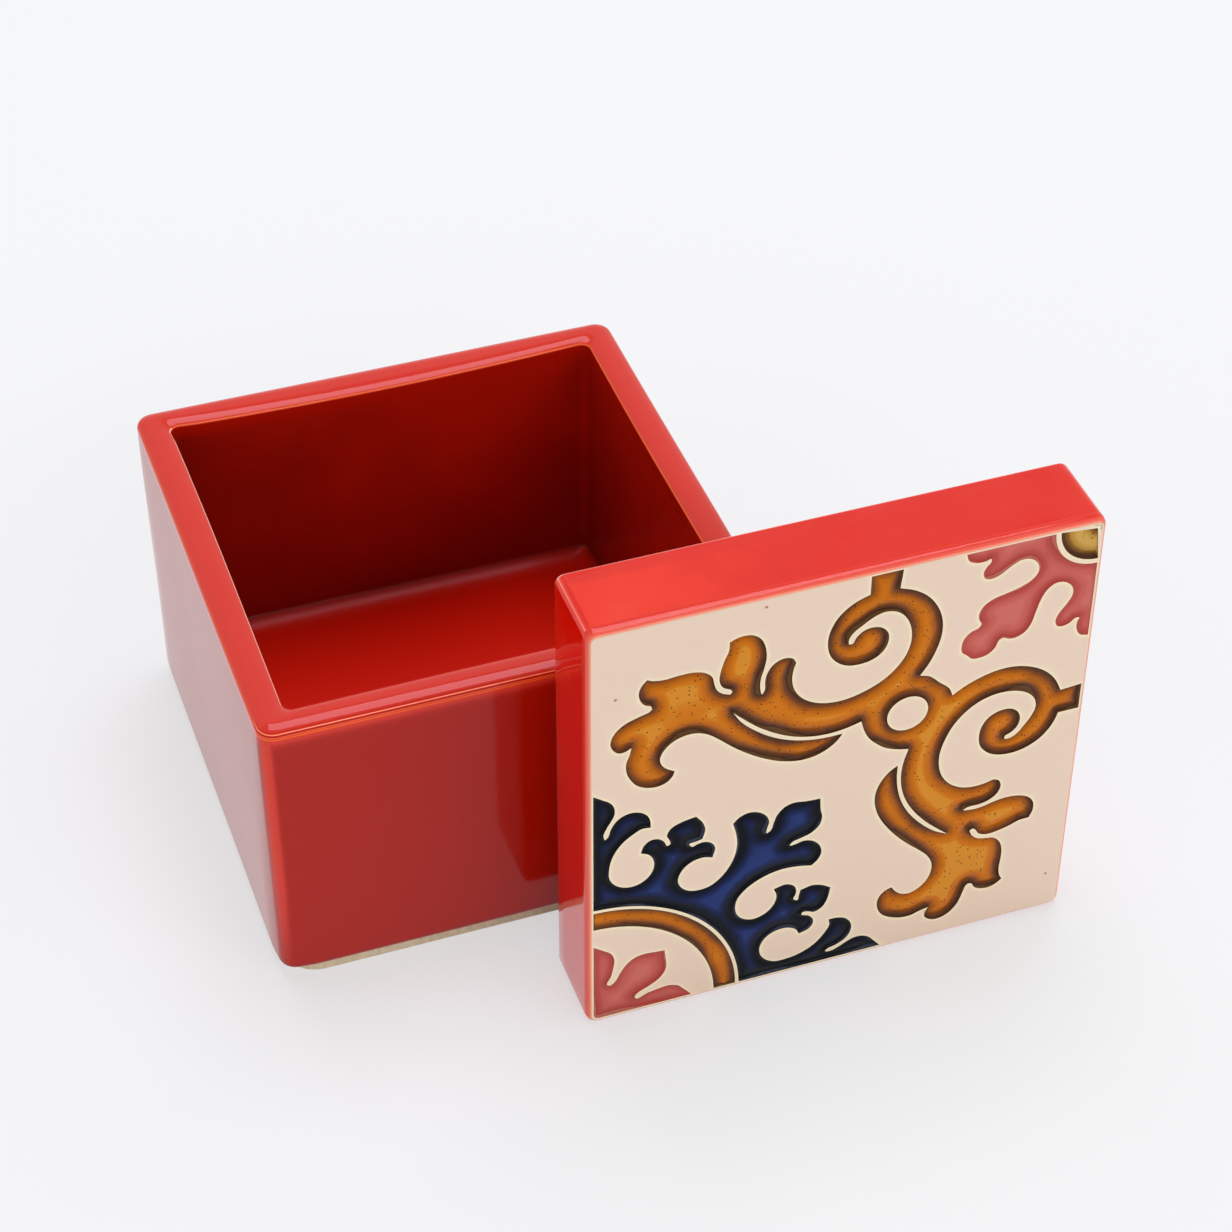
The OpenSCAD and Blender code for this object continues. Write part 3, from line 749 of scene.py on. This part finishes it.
def run_curve(run, before, after):
    """Points of one run on a centripetal curve through its points, without the last."""
    if len(run) == 2:
        count = max(1, round(math.dist(run[0], run[1]) / chord_share))
        return [tuple(a + (b - a) * k / count for a, b in zip(*run)) for k in range(count)]
    held = [np.array(p) for p in (before, *run, after)]
    points = []
    for i in range(len(run) - 1):
        p0, p1, p2, p3 = held[i:i + 4]
        t1 = math.dist(p0, p1) ** 0.5
        t2 = t1 + math.dist(p1, p2) ** 0.5
        t3 = t2 + math.dist(p2, p3) ** 0.5
        for k in range(curve_steps):
            t = t1 + (t2 - t1) * k / curve_steps
            a1 = (p0 * (t1 - t) + p1 * t) / t1
            a2 = (p1 * (t2 - t) + p2 * (t - t1)) / (t2 - t1)
            a3 = (p2 * (t3 - t) + p3 * (t - t2)) / (t3 - t2)
            b1 = (a1 * (t2 - t) + a2 * t) / t2
            b2 = (a2 * (t3 - t) + a3 * (t - t1)) / (t3 - t1)
            points.append(tuple((b1 * (t2 - t) + b2 * (t - t1)) / (t2 - t1)))
    return points


def half_outline(runs, smooth_start, smooth_end):
    """Points of a motif's half; a smooth end runs on into its mirror image."""
    points = []
    for i, run in enumerate(runs):
        before = flipped(run[1]) if smooth_start and i == 0 else [
            2 * a - b for a, b in zip(run[0], run[1])]
        after = flipped(run[-2]) if smooth_end and i == len(runs) - 1 else [
            2 * a - b for a, b in zip(run[-1], run[-2])]
        points += run_curve(run, before, after)
    return points


def mirrored(runs, smooth_start, smooth_end, begins_on_diagonal):
    """A motif's half, the tip where it meets the diagonal, and its mirror image."""
    half = half_outline(runs, smooth_start, smooth_end)
    return half + [runs[-1][-1]] + [
        flipped(p) for p in reversed(half[1 if begins_on_diagonal else 0:])]


def corner_arc(middle, radius, low_edge, side):
    """Points of a circle about (middle, middle) inside the margin, by rising angle."""
    first = math.asin((low_edge - middle) / radius * side)
    count = max(8, round((math.pi / 2 - 2 * first) * radius / chord_share))
    return [(middle + side * radius * math.cos(a), middle + side * radius * math.sin(a))
            for a in (first + (math.pi / 2 - 2 * first) * k / count for k in range(count + 1))]


far_share = 100 - tile_margin_share
disc_tip_share = far_share - 0.3 * blunt_share
motifs = {
    "scroll": mirrored(scroll_half_shares, True, True, True),
    "rosette": mirrored(rosette_half_shares, False, False, False)
    + corner_arc(arc_middle_share, rosette_inner_share, tile_margin_share, 1)[1:-1],
    "arc": corner_arc(arc_middle_share, arc_outer_share, tile_margin_share, 1)
    + corner_arc(arc_middle_share, arc_inner_share, tile_margin_share, 1)[::-1],
    "leaf": mirrored(leaf_half_shares, False, False, True),
    "spray": mirrored(spray_half_shares, False, True, False)
    + corner_arc(far_share, spray_inner_share, far_share, -1)[::-1],
    "disc": [(far_share - blunt_share, far_share), (disc_tip_share, disc_tip_share),
             (far_share, far_share - blunt_share)]
    + corner_arc(far_share, disc_share, far_share, -1),
}
hub_turns = [math.tau * k / hub_steps for k in range(hub_steps)]
hub_circle = [(hub_share + hub_radius_share * math.cos(a),
               hub_share + hub_radius_share * math.sin(a)) for a in hub_turns]


def tile_place(points):
    """Hundredths of the tile's side to metres from the tile's middle, repeats dropped."""
    place = [((x / 100 - 0.5) * lid_width, (y / 100 - 0.5) * lid_width) for x, y in points]
    return np.array([p for i, p in enumerate(place) if math.dist(p, place[i - 1]) > 5e-5])


def turning(loop):
    """Twice the signed area of a loop."""
    nxt = np.roll(loop, -1, 0)
    return (loop[:, 0] * nxt[:, 1] - nxt[:, 0] * loop[:, 1]).sum()


loops = {name: tile_place(points) for name, points in motifs.items()}
loops["hub"] = tile_place(hub_circle)
for name in loops:
    if turning(loops[name]) < 0:
        loops[name] = loops[name][::-1]


class Edges:
    """The nearest distance from a point to any of several closed loops."""

    def __init__(self, rings):
        self.ends = []
        for ring in rings:
            for i in range(len(ring)):
                self.ends.append((ring[i - 1], ring[i], ring[(i + 1) % len(ring)]))
        self.tree = KDTree(len(self.ends))
        for i, (_, p, _) in enumerate(self.ends):
            self.tree.insert((p[0], p[1], 0), i)
        self.tree.balance()

    def distance(self, q):
        best = math.inf
        for _, i, _ in self.tree.find_n((q[0], q[1], 0), 3):
            a, b, c = self.ends[i]
            for s, e in ((a, b), (b, c)):
                dx, dy = e[0] - s[0], e[1] - s[1]
                t = ((q[0] - s[0]) * dx + (q[1] - s[1]) * dy) / (dx * dx + dy * dy)
                t = min(1.0, max(0.0, t))
                best = min(best, math.hypot(q[0] - s[0] - dx * t, q[1] - s[1] - dy * t))
        return best


clear_share, row_share, row_gap = 0.985, 0.866, 0.0003


def offset_points(ring, distance, edges, gap):
    """Points at this distance to the ring's left, thinned to the gap, clear of other edges."""
    ahead = np.roll(ring, -1, 0) - ring
    ahead /= np.linalg.norm(ahead, axis=1)[:, None]
    aside = np.stack([-ahead[:, 1], ahead[:, 0]], 1)
    corner_side = aside + np.roll(aside, 1, 0)
    corner_side /= np.maximum(np.linalg.norm(corner_side, axis=1), 1e-6)[:, None]
    middles = (ring + np.roll(ring, -1, 0)) / 2
    kept = []
    for i in range(len(ring)):
        for base, side in ((ring[i], corner_side[i]), (middles[i], aside[i])):
            q = base + side * distance
            if edges.distance(q) < abs(distance) * clear_share:
                continue
            if kept and math.dist(kept[-1], q) < gap:
                continue
            kept.append(q)
    return kept


def grid_points(low, high, pitch):
    """A grid of points over a square, every other row half a pitch aside."""
    rows = []
    y, odd = low, False
    while y < high:
        x = low + (pitch / 2 if odd else 0)
        while x < high:
            rows.append((x, y))
            x += pitch
        y += pitch * row_share
        odd = not odd
    return rows


def thinned(points, gap):
    """Drops points that share a cell of this size with an earlier one."""
    seen, kept = set(), []
    for q in points:
        key = (round(q[0] / gap), round(q[1] / gap))
        if key not in seen:
            seen.add(key)
            kept.append(q)
    return kept


def rounded_square(half, radius, corner_steps=8, side_steps=44):
    """Loop of a square with rounded corners, always with the same number of points."""
    points = []
    for quarter in range(4):
        turn = quarter * math.pi / 2
        cs, sn = math.cos(turn), math.sin(turn)
        side = [(half, -half + radius + (half - radius) * 2 * k / side_steps)
                for k in range(side_steps)]
        curve = [(half - radius + radius * math.cos(a), half - radius + radius * math.sin(a))
                 for a in (math.pi / 2 * k / corner_steps for k in range(corner_steps))]
        points += [(x * cs - y * sn, x * sn + y * cs) for x, y in side + curve]
    return np.array(points)


tile_thick = face_high.y - face_low.y
arris_width, arris_fall, tile_corner = 0.0015, 0.0027, 0.003
relief_depth, lip_width, lip_drop = 0.0012, 0.0005, 0.00008
tile_top = slab + tile_thick
hollow_rings = [loops[name] for name in ("scroll", "rosette", "arc", "leaf", "spray", "disc")]
all_edges = Edges(hollow_rings + [loops["hub"]])
frame_ring = rounded_square(lid_half - arris_width, tile_corner - arris_width)
inner_limit = lid_half - arris_width - 0.0001

lip_rows, ground_pitch, ground_clear, ground_gap = (
    (0.00018, 0.00036, 0.0006, 0.0011), 0.003, 0.0016, 0.00012)
ground_points = []
for ring, side in [(ring, -1) for ring in hollow_rings] + [(loops["hub"], 1)]:
    for away in lip_rows:
        ground_points += offset_points(ring, side * away, all_edges, row_gap + away / 2)
ground_points += [q for q in grid_points(-lid_half, lid_half, ground_pitch)
                  if all_edges.distance(q) > ground_clear]
ground_points = thinned([q for q in ground_points if max(abs(q[0]), abs(q[1])) < inner_limit],
                        ground_gap)


def ground_height(q):
    """The cream ground's rounded lip down to the hollows, in metres from the tile's top."""
    d = all_edges.distance(q)
    return 0.0 if d >= lip_width else -lip_drop * (1 - d / lip_width) ** 2


class Shape:
    """Collects vertices by place and the faces between them."""

    def __init__(self):
        self.index, self.places, self.faces = {}, [], []

    def at(self, x, y, z):
        key = (round(x * 1e7), round(y * 1e7), round(z * 1e7))
        if key not in self.index:
            self.index[key] = len(self.places)
            self.places.append((x, y, z))
        return self.index[key]

    def face(self, corners):
        ids = [self.at(*c) for c in corners]
        ids = [v for i, v in enumerate(ids) if v != ids[i - 1]]
        if len(ids) > 2:
            self.faces.append(ids)

    def wall(self, upper, lower):
        """Faces between two loops of places, outwards when the loops run anticlockwise."""
        for i in range(len(upper)):
            j = (i + 1) % len(upper)
            self.face([upper[i], lower[i], lower[j], upper[j]])

    def spread(self, rings, spots, belongs, height_of):
        """Faces over the area that belongs, at this height at each ring's corner and spot.

        belongs gets the numbers of the rings that a triangle lies in."""
        points = [Vector(p) for ring in rings for p in ring] + [Vector(q) for q in spots]
        outlines, start = [], 0
        for ring in rings:
            outlines.append(list(range(start, start + len(ring))))
            start += len(ring)
        places, _, triangles, _, _, sources = delaunay_2d_cdt(
            points, [], outlines, 0, 1e-7, True)
        heights = {}
        for triangle, inside in zip(triangles, sources):
            if belongs(inside):
                for v in triangle:
                    if v not in heights:
                        heights[v] = height_of(places[v])
                self.face([(places[v][0], places[v][1], heights[v]) for v in triangle])

    def made(self, name):
        mesh = bpy.data.meshes.new(name)
        mesh.from_pydata(self.places, [], self.faces)
        mesh.update()
        obj = bpy.data.objects.new(name, mesh)
        scene.collection.objects.link(obj)
        select_only(obj)
        bpy.ops.object.mode_set(mode="EDIT")
        turn_outwards()
        bpy.ops.object.mode_set(mode="OBJECT")
        bpy.ops.object.shade_smooth_by_angle(angle=math.radians(50))
        return obj


ground = Shape()
hub_number = len(hollow_rings)
ground.spread(
    [frame_ring] + hollow_rings + [loops["hub"]], ground_points,
    lambda inside: hub_number + 1 in inside or not any(0 < k <= hub_number for k in inside),
    lambda q: tile_top + ground_height(q))
rim_level, bed_level = tile_top - lip_drop, tile_top - relief_depth
for ring in hollow_rings + [loops["hub"]]:
    ground.wall([(x, y, rim_level) for x, y in ring], [(x, y, bed_level) for x, y in ring])
ground.spread(hollow_rings + [loops["hub"]], [],
              lambda inside: inside and hub_number not in inside, lambda q: bed_level)
arris_steps = 10
levels = []
for k in range(arris_steps + 1):
    a = math.pi / 2 * k / arris_steps
    inset = arris_width * (1 - math.sin(a))
    ring = rounded_square(lid_half - inset, tile_corner - inset)
    levels.append([(x, y, tile_top - arris_fall * (1 - math.cos(a))) for x, y in ring])
outer_ring = rounded_square(lid_half, tile_corner)
for level in (tile_top - arris_fall - ring_step, slab):
    levels.append([(x, y, level) for x, y in outer_ring])
for upper, lower in zip(levels, levels[1:]):
    ground.wall(upper, lower)
for i in range(len(outer_ring)):
    ground.face([levels[-1][i - 1], (0, 0, slab), levels[-1][i]])
tile = ground.made("relief_tile")


def from_outline(p):
    """How far inside the tile's outline a point lies."""
    over_x, over_y = (abs(v) - lid_half + tile_corner for v in (p.x, p.y))
    return tile_corner - (math.hypot(over_x, over_y) if min(over_x, over_y) > 0
                          else max(over_x, over_y))


def tile_coat(p, n):
    """0 on the cream ground, rising over the arris to 1 on the red sides of the tile."""
    inside = from_outline(p)
    return 0.0 if inside > arris_width - tiny else 1 - 0.9 * inside / arris_width


pale_lip = 0.0014


def tile_lip(p, n):
    """1 on the crisp lip of the cream ground round each hollow, fading to 0 away from it."""
    if from_outline(p) < arris_width:
        return 0.0
    return max(0.0, 1 - all_edges.distance(p) / pale_lip) ** 1.5


note(tile, "coat", tile_coat)
note(tile, "cover", tile_lip)
# The ground's cream runs over the arris through a peach and coral border into red; the red there
# and on the tile's sides is a lighter salmon than the lid's, a painted highlight along the arris.
cream = ceramic("cream_tile_glaze", "coat", [
    (0.0, (0.775, 0.615, 0.492)), (0.12, (0.775, 0.615, 0.492)), (0.25, (0.82, 0.45, 0.28)),
    (0.42, (0.86, 0.24, 0.16)), (0.68, (0.80, 0.11, 0.075)), (1.0, (0.72, 0.035, 0.02))],
    1.33, ripple_size=120.0, bump=0.12, cloud_swing=0.03, speck_share=0.0015, speck_scale=700.0,
    speck_colour=(0.35, 0.2, 0.1, 1), cover=(0.90, 0.78, 0.54))
tile.data.materials.append(cream)
stand_up(tile)
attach(tile, "lid")
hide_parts("tile_face")


# Glaze pools: coloured glazes trailed into the hollows. Each lies thin up the wall, gathers dark
# in a groove along its outline, and swells to a brighter cushion in the middle. Rows are shares
# of the reach in from the outline, and depths are shares of the relief's depth.
pool_reach, pool_pitch, pool_clear, pool_gap = 0.005, 0.0011, 0.0037, 0.00014
pool_row_shares = (0.05, 0.1, 0.15, 0.2, 0.28, 0.38, 0.5, 0.66)
pool_stop_shares = (0, *pool_row_shares, 0.9, 1.4)
deep_shares = (0.075, 0.417, 0.75, 0.9, 0.933, 0.883, 0.75, 0.6, 0.467, 0.383, 0.35)
full_shares = (0.075, 0.333, 0.542, 0.633, 0.667, 0.642, 0.583, 0.517, 0.45, 0.392, 0.35)
soft_shares = (0.075, 0.2, 0.333, 0.417, 0.45, 0.442, 0.417, 0.383, 0.35, 0.333, 0.333)


def pool(name, rings, depth_shares, bright_from):
    """A closed body of glaze in one hollow, between its outline and that of its hub, if any.

    Its colour is at its brightest from the distance bright_from inwards."""
    edges = Edges(rings)
    spots = []
    for away in (pool_reach * share for share in pool_row_shares):
        for ring, side in zip(rings, (1, -1)):
            spots += offset_points(ring, side * away, edges, row_gap + away / 4)
    low, high = rings[0].min(), rings[0].max()
    spots += [q for q in grid_points(low, high, pool_pitch) if edges.distance(q) > pool_clear]
    stops = [pool_reach * share for share in pool_stop_shares]
    depths = [relief_depth * share for share in depth_shares]

    def in_hollow(inside):
        return 0 in inside and 1 not in inside

    body = Shape()
    body.spread(rings, thinned(spots, pool_gap), in_hollow,
                lambda q: tile_top - float(np.interp(edges.distance(q), stops, depths)))
    for ring in rings:
        body.wall([(x, y, tile_top - depths[0]) for x, y in ring],
                  [(x, y, bed_level) for x, y in ring])
    body.spread(rings, [], in_hollow, lambda q: bed_level)
    obj = body.made(name)
    note(obj, "reach", lambda p, n: min(1.0, edges.distance(p) / bright_from))
    return obj


ochre = ceramic("ochre_glaze", "reach", [
    (0.0, (0.13, 0.06, 0.02)), (0.04, (0.06, 0.022, 0.008)), (0.12, (0.095, 0.034, 0.014)),
    (0.26, (0.18, 0.053, 0.014)), (0.42, (0.35, 0.094, 0.005)), (0.62, (0.51, 0.137, 0.003)),
    (0.84, (0.58, 0.168, 0.004)), (1.0, (0.63, 0.245, 0.02))], 1.18, cloud_swing=0.22,
    speck_share=0.16, speck_scale=1300.0)
pale_ochre = ceramic("pale_ochre_glaze", "reach", [
    (0.0, (0.13, 0.06, 0.02)), (0.05, (0.07, 0.028, 0.010)), (0.15, (0.085, 0.030, 0.008)),
    (0.35, (0.22, 0.09, 0.010)), (0.6, (0.47, 0.25, 0.04)), (0.9, (0.58, 0.34, 0.08))], 1.2,
    cloud_swing=0.07, speck_share=0.08, speck_scale=1300.0)
navy = ceramic("navy_glaze", "reach", [
    (0.0, (0.03, 0.035, 0.06)), (0.05, (0.002, 0.003, 0.007)), (0.38, (0.002, 0.003, 0.008)),
    (0.6, (0.004, 0.008, 0.038)), (0.8, (0.008, 0.016, 0.078)), (1.0, (0.014, 0.032, 0.15))],
    1.18, cloud_swing=0.2)
rose = ceramic("rose_glaze", "reach", [
    (0.0, (0.46, 0.13, 0.10)), (0.05, (0.38, 0.045, 0.035)), (0.25, (0.44, 0.065, 0.055)),
    (0.6, (0.53, 0.105, 0.088)), (1.0, (0.57, 0.14, 0.12))], 1.22, cloud_swing=0.2)
for piece_name, ring_name, shares, bright_from, material, node_name, slot_name in (
        ("scroll_pool", "scroll", deep_shares, 0.005, ochre, "ochre_scroll_glaze", "ochre_glaze"),
        ("rosette_pool", "rosette", full_shares, 0.005, navy, "blue_rosette_glaze", "blue_glaze"),
        ("arc_pool", "arc", full_shares, 0.0042, ochre, "ochre_arc_glaze", "ochre_glaze"),
        ("leaf_pool", "leaf", soft_shares, 0.005, rose, "pink_leaf_glaze", "pink_glaze"),
        ("spray_pool", "spray", soft_shares, 0.005, rose, "pink_spray_glaze", "pink_glaze"),
        ("disc_pool", "disc", deep_shares, 0.005, pale_ochre, "ochre_disc_glaze", "ochre_glaze")):
    rings = [loops[ring_name]] + ([loops["hub"]] if ring_name == "scroll" else [])
    piece = pool(piece_name, rings, shares, bright_from)
    piece.data.materials.append(material)
    stand_up(piece)
    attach(piece, "lid")
    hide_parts(node_name)

bpy.ops.object.select_all(action="DESELECT")
